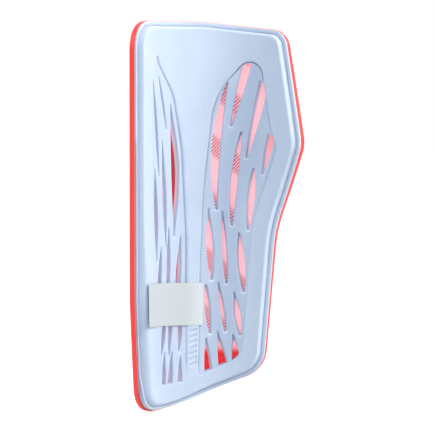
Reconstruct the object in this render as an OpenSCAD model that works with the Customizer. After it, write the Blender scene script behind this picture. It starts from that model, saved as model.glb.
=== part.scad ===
// Slip-in shin guard: a curved moulded shell with a printed lining and a vented foam pad.
// Z runs up the shin, the padded face looks to -Y, and the origin is the middle of that face's ridge.
// Girth is measured along the shell's inner face from the ridge and counts up toward +X.
// Heights above the middle are those of a guard drawn_h tall, and follow guard_h.

/* [Fit on the leg] */
// Radius of the padded face that lies on the shin
leg_r = 48.2; // [40:0.1:60]
// Height from the ankle edge to the knee edge
guard_h = 209; // [170:1:250]

/* [Reach round the leg] */
// Girth of the left edge
left_reach = 46.3; // [38:0.1:56]
// Girth of the left edge at the ankle
left_ankle_reach = 39.5; // [32:0.1:48]
// Girth of the right edge at the knee
right_knee_reach = 54.2; // [44:0.1:64]
// Girth of the calf wing's corner, before rounding
wing_reach = 65.8; // [54:0.1:78]
// Girth of the right edge at the waist under the wing
waist_reach = 48.4; // [38:0.1:56]
// Girth of the right edge at the ankle
right_ankle_reach = 41.5; // [34:0.1:48]
// Height of the wing's corner above the middle
wing_z = 38.3; // [20:0.1:50]
// Height of the waist above the middle
waist_z = -7; // [-25:0.1:5]
// Height above the middle where the left edge starts to draw in
taper_z = -45; // [-65:0.5:-20]
// Drop of the knee edge at its right corner
knee_drop = 5.1; // [0:0.1:12]
// Girth where the knee edge starts to drop
knee_crest = 8; // [-10:0.5:25]
// Rise of the ankle edge at its right corner
ankle_rise = 20.5; // [10:0.1:30]
// Girth where the ankle edge starts to rise
ankle_keel = -11; // [-22:0.5:0]
// Rise of the ankle edge there
keel_rise = 1; // [0:0.1:3]

/* [Corner radii of the outline] */
// Left knee corner
left_knee_r = 17; // [6:0.5:24]
// Right knee corner
right_knee_r = 10; // [6:0.5:14]
// Corner of the calf wing
wing_r = 16; // [8:0.5:30]
// Waist under the wing
waist_r = 80; // [40:1:110]
// Right ankle corner
right_ankle_r = 10; // [6:0.5:14]
// Left ankle corner
left_ankle_r = 15; // [6:0.5:18]
// Long bends of the knee, ankle and left edges
long_bend_r = 90; // [60:1:120]

/* [Shell and lining] */
// Wall of the moulded shell
shell_t = 2.8; // [1.8:0.1:4]
// Chamfer round the shell's outer edge
shell_edge = 0.9; // [0.3:0.1:1.4]
// Printed film on the shell's inner face
print_t = 0.15; // [0.1:0.01:0.3]
// Margin from the shell's edge to the printed film
print_margin = 0.2; // [0.1:0.1:1]
// Adhesive between the film and the pad
glue_t = 0.15; // [0.1:0.01:0.3]

/* [Foam pad] */
// Full thickness of the pad
pad_t = 4.4; // [3:0.1:6]
// Thickness of the flange round the pad
flange_t = 1; // [0.6:0.1:1.6]
// Margin from the shell's edge to the pad
pad_margin = 0.2; // [0.1:0.1:2]
// Width of the flange
flange_w = 1.6; // [0.8:0.1:4]
// How far the raised pad's wall leans in over its height
wall_lean = 0.8; // [0.2:0.1:2]
// Bevel along the raised pad's edge
pad_bevel = 1.6; // [0.4:0.1:1.8]
// Depth of the two vented panels below the padded face
panel_d = 1.1; // [0.5:0.1:1.8]

/* [Vented panels] */
// Border from the guard's edge to the panels
border_w = 13; // [9:0.5:16]
// Extra border beside the left panel
left_border_extra = 2.8; // [0:0.1:5]
// Drop from the knee edge to the top of the right panel
right_panel_drop = 15; // [10:0.5:24]
// Girth of the right panel's top
right_panel_top = 38; // [30:0.5:42]
// Drop from the knee edge to the top of the left panel
left_panel_drop = 16.5; // [10:0.5:24]
// Girth of the left panel's top, to the left
left_panel_top = 26.5; // [22:0.5:30]
// Half width of the rib at its foot
rib_foot = 3.7; // [2:0.1:5]
// Half width of the rib at its waist
rib_waist = 5.3; // [4:0.1:8]
// Height of the rib's waist above the middle, to the right
right_waist_z = 19; // [5:0.5:30]
// Height of the rib's waist above the middle, to the left
left_waist_z = 9.5; // [0:0.5:20]
// Half width of the rib's shoulder, to the right
right_shoulder = 14; // [10:0.5:18]
// Height of that shoulder above the middle
right_shoulder_z = 69; // [55:0.5:72]
// Half width of the rib's shoulder, to the left
left_shoulder = 9.5; // [7:0.5:13]
// Height of that shoulder above the middle
left_shoulder_z = 52; // [40:0.5:62]
// Rise of the panels' outer corners above the wing's corner and that shoulder
panel_wing_lift = 5; // [0:0.5:10]
// How far the panels' feet run into the ankle border
panel_foot_drop = 2.5; // [0:0.1:4]

/* [Corner radii of the panels] */
// Top of the right panel
apex_r = 8; // [2:0.5:12]
// Corner of the right panel in the wing
panel_wing_r = 22; // [8:0.5:30]
// Shoulders of the right panel and of the left panel's side
shoulder_r = 40; // [20:1:60]
// Shoulder of the left panel
left_shoulder_r = 120; // [60:1:160]
// Long bends beside the rib
rib_bend_r = 150; // [80:1:200]
// Small corners beside the rib
foot_r = 1.5; // [0.5:0.1:3]
// Outer foot corner of the right panel
right_heel_r = 10; // [2:0.5:12]
// Outer foot corner of the left panel
left_heel_r = 3; // [1:0.5:6]

/* [Vents] */
// Width of a short vent
vent_w = 2.4; // [1.2:0.1:3]
// Width of a short vent that runs out at the panel's edge
vent_open_w = 4; // [2:0.1:4.5]
// Extra width for each millimetre of a vent's length
vent_swell = 0.037; // [0:0.001:0.06]
// Width of a vent's blunt ends
vent_end = 1.4; // [0.5:0.1:1.8]
// Web between two vents of a column
vent_web = 2.4; // [1:0.1:5]
// Least web between a vent and the panel's edge
vent_margin = 0.6; // [0.3:0.1:2]

/* [Grip bars on the rib] */
// Number of bars
grip_n = 7; // [1:1:9]
// Length of a bar
grip_l = 5.4; // [3:0.1:6]
// Width of a bar
grip_w = 1.3; // [0.6:0.1:2]
// Depth of a bar below the padded face
grip_d = 0.5; // [0.2:0.1:1]
// Distance from bar to bar
grip_pitch = 3; // [2:0.1:4]
// Lean of a bar, in degrees
grip_lean = 20; // [0:1:45]
// Height of the middle bar above the middle
grip_z = -71; // [-76:0.5:-40]

/* [Label] */
// Length of the label round the leg
label_l = 43.3; // [20:0.1:44]
// Height of the label
label_h = 23; // [12:0.1:30]
// Thickness of the label
label_t = 0.15; // [0.1:0.01:0.3]
// Girth of the label's right end
label_end = 6.5; // [4:0.5:12]
// Height of the label's middle above the guard's middle
label_z = -47; // [-60:0.5:-30]
// Slant of the label's right end, inward at its foot
label_slant = 2; // [0:0.1:3]
// Fall of the label from its left end to its right end
label_fall = 1.2; // [0:0.1:3]

/* [Hidden] */

// Radii from the leg's axis outward
flange_r = leg_r + pad_t - flange_t;
glue_r = leg_r + pad_t;
print_r = glue_r + glue_t;
shell_r = print_r + print_t;
outer_r = shell_r + shell_t;
far_r = 4 * outer_r;

// Steps of an outline: parts of a rounded corner and the longest girth of one part
corner_steps = 6;
wrap_step = 4;
// Least corner radius, and the share of an edge that one corner may take
least_r = 0.3;
edge_share = 0.48;
// Least bulge of a vent's side, outward or inward
vent_flat = 0.1;
// How far a cutting block runs past the layer that it cuts, and a vent past its panel's foot
past = 1;
foot_past = 1.5;
// Sides of a full circle, and of the large circles that bound a vent
$fn = 96;
lens_fn = 720;

// Heights drawn on a guard of drawn_h, and the same on this guard
drawn_h = 209;
function level(z) = z * guard_h / drawn_h;

// The guard's outline, clockwise as seen from the leg: girth, height and corner radius
knee_z = guard_h / 2;
guard = [
    [-left_reach, knee_z, left_knee_r],
    [knee_crest, knee_z, long_bend_r],
    [right_knee_reach, knee_z - knee_drop, right_knee_r],
    [wing_reach, level(wing_z), wing_r],
    [waist_reach, level(waist_z), waist_r],
    [right_ankle_reach, -knee_z + ankle_rise, right_ankle_r],
    [ankle_keel, -knee_z + keel_rise, long_bend_r],
    [-left_ankle_reach, -knee_z, left_ankle_r],
    [-left_reach, level(taper_z), long_bend_r],
];

// The two panels, clockwise, inside the border and beside the rib
frame = inset(guard, border_w);
right_apex = [right_panel_top, knee_z - right_panel_drop, apex_r];
right_wing = [frame[3][0], frame[3][1] + level(panel_wing_lift), panel_wing_r];
right_heel = [frame[5][0], frame[5][1] - panel_foot_drop, right_heel_r];
right_foot = [rib_foot, on_line(frame[5], frame[6], rib_foot) - panel_foot_drop, foot_r];
right_rib = [rib_waist, level(right_waist_z), rib_bend_r];
right_rise = [right_shoulder, level(right_shoulder_z), shoulder_r];
right_panel = [right_apex, right_wing, frame[4], right_heel, right_foot, right_rib, right_rise];

left_side = -left_reach + border_w + left_border_extra;
left_apex = [-left_panel_top, knee_z - left_panel_drop, foot_r];
left_rise = [-left_shoulder, level(left_shoulder_z), left_shoulder_r];
left_rib = [-rib_waist, level(left_waist_z), rib_bend_r];
left_foot = [-rib_foot, on_line(frame[5], frame[6], -rib_foot) - panel_foot_drop, foot_r];
left_heel = [left_side, -knee_z + border_w, left_heel_r];
left_wing = [left_side, level(left_shoulder_z + panel_wing_lift), shoulder_r];
left_panel = [left_apex, left_rise, left_rib, left_foot, left_heel, left_wing];

// Columns of vents: a vent's place across the panel at its top and at its foot, from 0 at the rib to 1 at the
// outer edge, its bow to the left, its share of the usual width, its end that runs out at the panel's edge,
// and the heights at which one vent ends and the next begins
right_columns = [
    [0.12, 0.335, 3.3, 1.13, "", [73.5, 2]],
    [0.03, 0.31, 0, 0.78, "top", [87, 47]],
    [0.95, 0.635, 0, 0.86, "top", [73, 30]],
    [0.89, 0.955, 0, 0.95, "top", [44.5, 21]],
    [0.46, 0.645, 1.3, 1, "", [46.5, -6.5]],
    [0.165, 0.285, 0, 1.22, "", [1.5, -36, -65]],
    [0.42, 0.6, 0, 0.85, "", [0, -38, -64]],
    [0.76, 0.935, 0, 1.18, "", [27, -9, -42.5, -66]],
    [0.185, 0.24, 0, 0.83, "foot", [-66, -87.5]],
    [0.46, 0.59, 0, 1, "foot", [-65, -83.5]],
    [0.785, 0.875, 0, 0.98, "foot", [-64.5, -80]],
];
left_columns = [
    [0.33, 0.39, 0, 0.35, "", [76, 45.5]],
    [0.97, 0.72, 0, 0.55, "", [74, 24]],
    [0.07, 0.265, -2.4, 1.12, "", [61.5, -10.5]],
    [0.57, 0.52, 0, 0.62, "", [42, -16]],
    [0.91, 0.84, 0, 0.55, "", [33, -21.5]],
    [0.07, 0.145, 0, 1.15, "", [-9.5, -42, -72]],
    [0.43, 0.465, 0, 0.8, "", [-7, -38, -74]],
    [0.69, 0.725, 0, 0.8, "", [-16.5, -39, -74]],
    [0.13, 0.13, 0, 0.62, "foot", [-72, -90.5]],
    [0.335, 0.4, 0, 0.62, "foot", [-71.5, -91.5]],
    [0.58, 0.645, 0, 0.62, "foot", [-71.5, -92]],
];

// Outline functions
function xy(v, i) = let (p = v[(i + len(v)) % len(v)]) [p[0], p[1]];
function toward(a, b) = (b - a) / norm(b - a);
function inward(a, b) = let (u = toward(a, b)) [u[1], -u[0]];
function bend(v, i) = cross(xy(v, i) - xy(v, i - 1), xy(v, i + 1) - xy(v, i));
function turned(p, a) = [p[0] * cos(a) - p[1] * sin(a), p[0] * sin(a) + p[1] * cos(a)];
function on_line(a, b, s) = a[1] + (b[1] - a[1]) * (s - a[0]) / (b[0] - a[0]);
function mean(p) = [for (q = p) 1] * p / len(p);

// The outline moved inward by d, with its radii to suit
function inset(v, d) = [
    for (i = [0:len(v) - 1])
        let (p = inward(xy(v, i - 1), xy(v, i)),
             q = inward(xy(v, i), xy(v, i + 1)),
             at = xy(v, i) + (p + q) * d / (1 + p * q),
             r = bend(v, i) < 0 ? v[i][2] - d : v[i][2] + d)
            [at[0], at[1], max(least_r, r)]
];

// The radius of one corner, limited by the edges beside it
function corner_r(v, i, half) =
    let (b = xy(v, i),
         edge = min(norm(b - xy(v, i - 1)), norm(b - xy(v, i + 1))))
    min(v[i][2], edge * edge_share * tan(half));

// The points of one rounded corner
function corner(v, i) =
    let (b = xy(v, i),
         u = toward(b, xy(v, i - 1)),
         w = toward(b, xy(v, i + 1)),
         half = acos(u * w) / 2,
         r = corner_r(v, i, half),
         centre = b + toward([0, 0], u + w) * r / sin(half),
         first = b + u * r / tan(half) - centre,
         sweep = sign(bend(v, i)) * (180 - 2 * half))
    [for (k = [0:corner_steps]) centre + turned(first, sweep * k / corner_steps)];
function rounded(v) = [for (i = [0:len(v) - 1]) each corner(v, i)];

// The outline with its edges parted, as the guide's are, so that they follow the curve of the leg
function parted(p, guide) = [
    for (i = [0:len(p) - 1])
        let (j = (i + 1) % len(p),
             n = max(1, ceil(abs(guide[j][0] - guide[i][0]) / wrap_step)))
            for (k = [0:n - 1]) p[i] + (p[j] - p[i]) * k / n
];

// A developed point wrapped round the leg at radius r
function angle(s) = s / shell_r * 180 / PI;
function wrapped(p, r) = [r * sin(angle(p[0])), r * cos(angle(p[0])) - leg_r, p[1]];

// A block that is cut to one outline at radius r1 and to another at radius r2
module wrapped_block(outline1, r1, outline2, r2) {
    guide = rounded(outline1);
    a = parted(guide, guide);
    b = parted(rounded(outline2), guide);
    n = len(a);
    middle = mean(a);
    points = concat(
        [for (p = a) wrapped(p, r1)],
        [for (p = b) wrapped(p, r2)],
        [wrapped(middle, 0), wrapped(middle, far_r)]
    );
    walls = [for (i = [0:n - 1]) let (j = (i + 1) % n) each [[i, n + i, j], [j, n + i, n + j]]];
    ends = [for (i = [0:n - 1]) let (j = (i + 1) % n) each [[i, j, 2 * n], [n + j, n + i, 2 * n + 1]]];
    polyhedron(points, concat(walls, ends));
}

// A straight-walled block
module wrapped_prism(outline) {
    wrapped_block(outline, leg_r - past, outline, outer_r + past);
}

// A full ring round the leg's axis
module ring(r1, r2) {
    translate([0, -leg_r, 0]) difference() {
        cylinder(h = 2 * guard_h, r = r2, center = true);
        cylinder(h = 3 * guard_h, r = r1, center = true);
    }
}

// A layer between two radii, cut square to an outline
module layer(r1, r2, outline) {
    intersection() {
        ring(r1, r2);
        wrapped_prism(outline);
    }
}

// A pocket cut to an outline, from the leg's axis out to radius r
module pocket(r, outline) {
    intersection() {
        translate([0, -leg_r, 0]) cylinder(h = 2 * guard_h, r = r, center = true);
        wrapped_prism(outline);
    }
}

// The raised part of the pad, with a leaning wall and a bevelled edge
module raised_pad() {
    foot_inset = pad_margin + flange_w;
    wall_h = pad_t - flange_t;
    lean = wall_lean / wall_h;
    bevel_foot = foot_inset + wall_lean;
    in_r = leg_r - past;
    out_r = glue_r + past;
    intersection() {
        ring(leg_r, glue_r);
        wrapped_block(
            inset(guard, foot_inset + lean * (flange_r - in_r)), in_r,
            inset(guard, foot_inset + lean * (flange_r - out_r)), out_r);
        wrapped_block(
            inset(guard, bevel_foot + pad_bevel + past), in_r,
            inset(guard, bevel_foot + pad_bevel - (out_r - leg_r)), out_r);
    }
}

// Radius of the arc that rises by bulge over length
function arc_r(length, bulge) = (pow(length / 2, 2) + pow(bulge, 2)) / (2 * bulge);

// A circle that bounds a blunt lens on one side, bulging outward: to the right for a positive side
module full_side(length, bulge, side) {
    r = arc_r(length, bulge);
    translate([side * (vent_end / 2 + bulge - r), 0]) circle(r, $fn = lens_fn);
}

// A circle that cuts into a blunt lens from one side
module hollow_side(length, bulge, side) {
    r = arc_r(length, bulge);
    translate([side * (vent_end / 2 - bulge + r), 0]) circle(r, $fn = lens_fn);
}

// A lens with blunt ends, its length along Y, bowed to the left for a positive bow
module lens(length, width, bow) {
    bulge = max((width - vent_end) / 2, vent_flat);
    side = bow < 0 ? 1 : -1;
    slack = bulge - abs(bow);
    if (slack >= vent_flat) intersection() {
        full_side(length, bulge + abs(bow), side);
        full_side(length, slack, -side);
        square([6 * width, length], center = true);
    }
    else difference() {
        intersection() {
            full_side(length, bulge + abs(bow), side);
            square([6 * width, length], center = true);
        }
        hollow_side(length, max(-slack, vent_flat), -side);
    }
}

// Half a lens, from its widest place at the end that runs out
module half_lens(length, width, open) {
    up = open == "top" ? 1 : -1;
    intersection() {
        translate([0, up * length / 2]) lens(2 * length, width, 0);
        square([2 * width, length], center = true);
    }
}

// A lens cut straight through the pad, from one developed point down to another
module vent(top, foot, width, bow, open) {
    middle = (top + foot) / 2;
    way = top - foot;
    translate([0, -leg_r, 0])
        rotate([0, 0, -angle(middle[0])])
            translate([0, shell_r, middle[1]])
                rotate([90, 0, 0])
                    linear_extrude(shell_r - leg_r + past)
                        rotate([0, 0, -atan2(way[0], way[1])])
                            if (open == "") lens(norm(way), width, bow);
                            else half_lens(norm(way), width, open);
}

// One column of vents
module vent_column(column, rib, side) {
    open = column[4];
    least_w = open == "" ? vent_w : vent_open_w;
    lens_share = open == "" ? 1 : 2;
    heights = [for (z = column[5]) level(z)];
    for (i = [0:len(heights) - 2]) {
        z1 = heights[i] - vent_web / 2;
        z2 = heights[i + 1] + (open == "foot" ? -foot_past : vent_web / 2);
        top = [across(rib, side, z1, column[0]), z1];
        foot = [across(rib, side, z2, column[1]), z2];
        width = (least_w + vent_swell * lens_share * (z1 - z2)) * column[3];
        vent(top, foot, width, column[2], open);
    }
}
function across(rib, side, z, u) = lookup(z, rib) * (1 - u) + lookup(z, side) * u;
function heights_of(corners) = [for (c = corners) [c[1], c[0]]];

// The vents of both panels, each clear of its panel's edge
module vents() {
    right_rib_line = heights_of([right_foot, right_rib, right_rise, right_apex]);
    right_side_line = heights_of([right_heel, frame[4], right_wing, right_apex]);
    left_rib_line = heights_of([left_foot, left_rib, left_rise, left_apex]);
    left_side_line = heights_of([left_heel, left_wing, left_apex]);
    intersection() {
        for (column = right_columns) vent_column(column, right_rib_line, right_side_line);
        wrapped_prism(inset(right_panel, vent_margin));
    }
    intersection() {
        for (column = left_columns) vent_column(column, left_rib_line, left_side_line);
        wrapped_prism(inset(left_panel, vent_margin));
    }
}

// Short slanted bars to sink into the rib
module grip_bars() {
    for (i = [0:grip_n - 1])
        translate([0, grip_d - past, level(grip_z) + (i - (grip_n - 1) / 2) * grip_pitch])
            rotate([0, -grip_lean, 0])
                cube([grip_l, 2 * past, grip_w], center = true);
}

// Moulded shell with a chamfer round its outer edge
module shell() {
    color("tomato") intersection() {
        layer(shell_r, outer_r, guard);
        wrapped_block(
            inset(guard, shell_edge - shell_t - past), shell_r - past,
            inset(guard, shell_edge + past), outer_r + past);
    }
}

// Printed lining on the shell's inner face
module printed_film() {
    color("lightpink") layer(print_r, shell_r, inset(guard, print_margin));
}

// Adhesive, die cut with the pad
module adhesive_film() {
    color("ivory") difference() {
        layer(glue_r, print_r, inset(guard, pad_margin));
        vents();
    }
}

// Moulded foam pad: flange, raised body, two sunk panels, their vents and the grip bars
module foam_pad() {
    color("lightsteelblue") difference() {
        union() {
            layer(flange_r, glue_r, inset(guard, pad_margin));
            raised_pad();
        }
        pocket(leg_r + panel_d, right_panel);
        pocket(leg_r + panel_d, left_panel);
        vents();
        grip_bars();
    }
}

// Blank label across the left panel and the rib
module label() {
    s1 = label_end - label_l;
    s2 = label_end - label_slant;
    up = label_h / 2;
    z1 = level(label_z) + label_fall / 2;
    z2 = level(label_z) - label_fall / 2;
    rim = [
        [s1, z1 + up, least_r],
        [label_end, z2 + up, least_r],
        [s2, z2 - up, least_r],
        [s1, z1 - up, least_r],
    ];
    color("whitesmoke") layer(leg_r - label_t, leg_r, rim);
}

shell();
printed_film();
adhesive_film();
foam_pad();
label();
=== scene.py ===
"""Looks of the slip-in shin guard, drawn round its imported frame.

Shapes are drawn on the guard laid flat: s is the girth from the ridge along the shell's inner face, z the height
and r the distance from the leg's axis. They are millimetres until place() wraps them round the leg, in metres.
"""

import math
from collections import namedtuple

import bmesh
import bpy
import numpy as np
from mathutils import Matrix, Vector
from mathutils.geometry import delaunay_2d_cdt
from mathutils.kdtree import KDTree


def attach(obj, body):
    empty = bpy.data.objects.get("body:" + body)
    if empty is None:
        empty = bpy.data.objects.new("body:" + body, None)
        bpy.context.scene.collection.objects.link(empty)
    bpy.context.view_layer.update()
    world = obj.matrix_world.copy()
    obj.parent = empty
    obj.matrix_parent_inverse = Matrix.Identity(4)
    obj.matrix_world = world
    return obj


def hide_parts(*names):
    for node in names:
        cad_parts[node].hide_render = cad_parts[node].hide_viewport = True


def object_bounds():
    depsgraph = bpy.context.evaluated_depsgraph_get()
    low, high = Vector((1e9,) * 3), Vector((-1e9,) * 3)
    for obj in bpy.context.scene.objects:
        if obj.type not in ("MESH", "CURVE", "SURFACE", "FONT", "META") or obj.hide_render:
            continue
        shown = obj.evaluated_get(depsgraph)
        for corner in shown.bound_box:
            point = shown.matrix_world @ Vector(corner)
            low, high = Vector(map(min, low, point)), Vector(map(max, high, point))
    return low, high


MM = 0.001

# Layers, from the padded face outward
LEG_R = 48.2
PAD_T = 4.4
FLANGE_T = 1.0
FILM_T = 0.15
SHELL_T = 2.8
SHELL_ROUND = 1.0
GLUE_R = LEG_R + PAD_T
PRINT_R = GLUE_R + FILM_T
SHELL_R = PRINT_R + FILM_T
OUTER_R = SHELL_R + SHELL_T
PAD_MARGIN = 0.2
PRINT_MARGIN = 0.2
LABEL_T = 0.15

# Outline of the guard laid flat: girth, height and corner radius of each corner, clockwise
KNEE_Z = 104.5
LEFT_EDGE = -46.3
GUARD = [
    (LEFT_EDGE, KNEE_Z, 17),
    (8, KNEE_Z, 90),
    (54.2, KNEE_Z - 5.1, 10),
    (65.8, 38.3, 16),
    (48.4, -7, 80),
    (41.5, -KNEE_Z + 20.5, 17),
    (-11, -KNEE_Z + 1, 90),
    (-39.5, -KNEE_Z, 15),
    (LEFT_EDGE, -45, 90),
]
BORDER = 13
FOOT_DROP = 2.5
EDGE_SHARE = 0.48
OUTLINE_STEP = 1.2
PANEL_STEP = 1.1

# Vents of a panel, in columns: place at the top and at the foot, from 0 at the rib to 1 at the far edge, how far
# the column bows to the left, its share of the usual width, which end the panel's edge cuts open, the heights
# between which its vents lie, and how far the head of each vent runs on as a narrow slot
RIGHT_COLUMNS = [
    (0.035, 0.268, 3.2, 1.10, "", (73.5, 2), (0,)),
    (0.0, 0.335, 0, 0.78, "top", (87, 47), (0,)),
    (1.0, 0.58, 0, 0.75, "top", (73, 30), (0,)),
    (0.967, 0.90, 0, 0.83, "top", (44.5, 21), (0,)),
    (0.50, 0.60, 1.3, 1.0, "", (46.5, -6.5), (0,)),
    (0.137, 0.262, 0, 1.22, "", (1.5, -36), (3.5,)),
    (0.405, 0.57, 0, 0.85, "", (0, -38), (3.7,)),
    (0.73, 0.933, 0, 1.18, "", (27, -9), (0,)),
    (0.147, 0.265, 0, 1.02, "", (-36, -65), (0,)),
    (0.422, 0.603, 0, 0.85, "", (-38, -64), (3.5,)),
    (0.757, 0.936, 0, 1.18, "", (-9, -42.5, -66), (1, 2.5)),
    (0.19, 0.247, 0, 0.83, "foot", (-66, -87.5), (1,)),
    (0.463, 0.592, 0, 1.0, "foot", (-65, -83.5), (3.5,)),
    (0.786, 0.876, 0, 0.98, "foot", (-64.5, -80), (1.3,)),
]
LEFT_COLUMNS = [
    (0.49, 0.405, 0, 0.35, "", (76, 45.5), (0,)),
    (0.97, 0.72, 0, 0.55, "", (74, 20.5), (0,)),
    (0.15, 0.29, -1.95, 1.12, "", (61.5, -12), (0,)),
    (0.58, 0.52, 0, 0.72, "", (42, -18), (0,)),
    (0.87, 0.82, 0, 0.88, "", (27, -25), (0,)),
    (0.125, 0.24, 0, 0.85, "", (-9.5, -52), (0,)),
    (0.43, 0.475, 0, 0.78, "", (-5, -48), (0,)),
    (0.67, 0.78, 0, 0.90, "", (-15, -50), (0,)),
    (0.14, 0.175, 0, 0.90, "", (-52, -74), (0,)),
    (0.39, 0.44, 0, 0.85, "", (-48, -76), (0,)),
    (0.555, 0.67, 0, 1.0, "", (-50, -76), (0,)),
    (0.135, 0.17, 0, 0.62, "foot", (-74.5, -90.5), (0,)),
    (0.35, 0.435, 0, 0.70, "foot", (-71.5, -91.5), (0,)),
    (0.57, 0.615, 0, 0.66, "foot", (-71.5, -92), (0,)),
]
VENT_W = 2.4
VENT_OPEN_W = 4.0
VENT_SWELL = 0.037
VENT_END = 1.4
VENT_WEB = 2.4
VENT_MARGIN = 0.6
VENT_LIP = 0.4
VENT_TIP = 1.1
VENT_DRAFT = 0.3
LEFT_POINT = 1.3
CUP = 1.3
CUP_DEPTH = 0.75

# Relief of the pad
WALL_FOOT = PAD_MARGIN + 2.4
WALL_ROUND = 1.2
WALL_GROOVE = 0.45
SHOULDER = 2.4
FOOT_FLANGE = 1.5
FOOT_SWELL = 1.5
RIM_ROUND = 0.4
RIM_FALL = 0.3
RIM_SHOWS = 0.6
PANEL_ROUND = 1.6
CREASE = 0.45

# Painted light stored with the points of the pad: a painted red reflection of the shell on its rim, painted
# highlights on the lit lips, and painted light with a painted red glow on the walls of the vents
RIM_PAINTED_REFLECTION = 2.0
LIP_PAINTED_HIGHLIGHT = -0.45
LEFT_WALL_PAINTED_LIGHT = -1.0
RIGHT_WALL_PAINTED_LIGHT = -0.6

# Slanted bars sunk in the lower rib
BAR_COUNT = 7
BAR_L = 5.4
BAR_W = 1.3
BAR_DEPTH = 0.5
BAR_PITCH = 3.0
BAR_LEAN = 20
BAR_Z = -71

# Label
LABEL_L = 49.2
LABEL_H = 23.0
LABEL_END = 6.9
LABEL_Z = -47
LABEL_SLANT = 0.2
LABEL_FALL = 1.2
LABEL_LIFT = 0.8
LABEL_BEND = 0.9

# Hatching of the printed lining, and the bands in which it shows
HATCH_SLANT = 47
HATCH_PITCH = 1.25
BAND_PITCH = 32
BAND_AT = 49.0

# Rings of points that hold the relief's shape: distances from the rim, the panels, the vents and the bars, and shares
# of the rounding of the wall and of the vents' lips
RIM_GAPS = (0.05, 0.2, 0.4, 1.0, 1.65, 1.9, 2.1, 2.3)
WALL_SHARES = (0.008, 0.04, 0.12, 0.25, 0.42, 0.65, 1, 1.35)
PANEL_GAPS = (-0.76, -0.44, -0.24, -0.1, 0.015, 0.07, 0.2, 0.4, 0.75, 1.2, 1.7)
LIP_SHARES = (0.02, 0.12, 0.35, 0.65, 1.05)
CUP_GAPS = (0.6, 0.85, 1.1, 1.4)
BAR_GAPS = (-0.14, -0.06, 0.06, 0.14)

# Spacing of the points between the rings
PAD_GRID = 1.5
BACK_GRID = 4.0
GLUE_GRID = 5.0
SHELL_GRID = 3.0
LABEL_GRID = 1.6

# Points handled at a time, the step that finds a slope, and the gap below which points are one
CHUNK = 2000
PROBE = 0.05
WELD = 1e-5


# Flat outlines


def unit(v):
    return v / np.linalg.norm(v)


def cross(a, b):
    return a[0] * b[1] - a[1] * b[0]


def inset(corners, gap):
    """The corners of the outline moved inward by gap."""
    points = [np.array(c[:2], float) for c in corners]
    made = []
    for i, here in enumerate(points):
        before, after = points[i - 1], points[(i + 1) % len(points)]
        u, w = unit(here - before), unit(after - here)
        in_u, in_w = np.array([u[1], -u[0]]), np.array([w[1], -w[0]])
        bisector = unit(in_u + in_w)
        moved = here + bisector * gap / np.dot(bisector, in_u)
        made.append((moved[0], moved[1], corners[i][2]))
    return made


def rounded(corners, chord=0.4):
    """The outline as points, with each corner turned into an arc."""
    points = [np.array(c[:2], float) for c in corners]
    made = []
    for i, here in enumerate(points):
        before, after = points[i - 1], points[(i + 1) % len(points)]
        u, w = unit(before - here), unit(after - here)
        half = math.acos(np.clip(np.dot(u, w), -1, 1)) / 2
        room = min(np.linalg.norm(before - here), np.linalg.norm(after - here)) * EDGE_SHARE
        r = min(corners[i][2], room * math.tan(half))
        centre = here + unit(u + w) * r / math.sin(half)
        arm = here + u * r / math.tan(half) - centre
        sweep = math.copysign(math.pi - 2 * half, cross(here - before, after - here))
        steps = max(3, math.ceil(r * abs(sweep) / chord))
        for k in range(steps + 1):
            a = sweep * k / steps
            c, d = math.cos(a), math.sin(a)
            made.append(centre + (arm[0] * c - arm[1] * d, arm[0] * d + arm[1] * c))
    return np.array(made)


def evenly(points, step):
    """The closed line of points cut into equal steps."""
    loop = np.vstack([points, points[:1]])
    length = np.concatenate([[0], np.cumsum(np.linalg.norm(np.diff(loop, axis=0), axis=1))])
    at = np.linspace(0, length[-1], max(8, round(length[-1] / step)), endpoint=False)
    return np.stack([np.interp(at, length, loop[:, k]) for k in (0, 1)], 1)


def moved_in(points, gap):
    """The clockwise closed line moved inward by gap, point by point."""
    way = np.roll(points, -1, 0) - np.roll(points, 1, 0)
    way /= np.linalg.norm(way, axis=1)[:, None]
    return points + np.stack([way[:, 1], -way[:, 0]], 1) * gap


def distance(points, loop):
    """How far each point is from the closed line."""
    a, b = loop, np.roll(loop, -1, 0)
    ab = b - a
    out = np.empty(len(points))
    for i in range(0, len(points), CHUNK):
        to = points[i : i + CHUNK, None] - a
        t = np.clip((to * ab).sum(2) / np.maximum((ab * ab).sum(1), 1e-12), 0, 1)
        out[i : i + CHUNK] = np.sqrt(((to - t[:, :, None] * ab) ** 2).sum(2).min(1))
    return out


def inside(points, loop):
    """True for each point that lies inside the closed line."""
    a, b = loop, np.roll(loop, -1, 0)
    out = np.empty(len(points), bool)
    for i in range(0, len(points), CHUNK):
        s, z = points[i : i + CHUNK, :1], points[i : i + CHUNK, 1:]
        spans = (a[:, 1] > z) != (b[:, 1] > z)
        rise = np.where(b[:, 1] == a[:, 1], 1, b[:, 1] - a[:, 1])
        cut = a[:, 0] + (z - a[:, 1]) / rise * (b[:, 0] - a[:, 0])
        out[i : i + CHUNK] = (spans & (s < cut)).sum(1) % 2 == 1
    return out


def depth_in(points, loop):
    """Distance from the closed line, above 0 inside it and below 0 outside it."""
    return np.where(inside(points, loop), 1, -1) * distance(points, loop)


def on_line(a, b, s):
    """The height, at girth s, of the straight line through two corners."""
    return a[1] + (b[1] - a[1]) * (s - a[0]) / (b[0] - a[0])


def smooth(low, high, x):
    """0 at low and 1 at high, with a level start and end. Low may be above high."""
    t = np.clip((x - low) / (high - low), 0, 1)
    return t * t * (3 - 2 * t)


# Panels and vents

Vent = namedtuple("Vent", "top foot width bow end foot_way slot")

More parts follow.
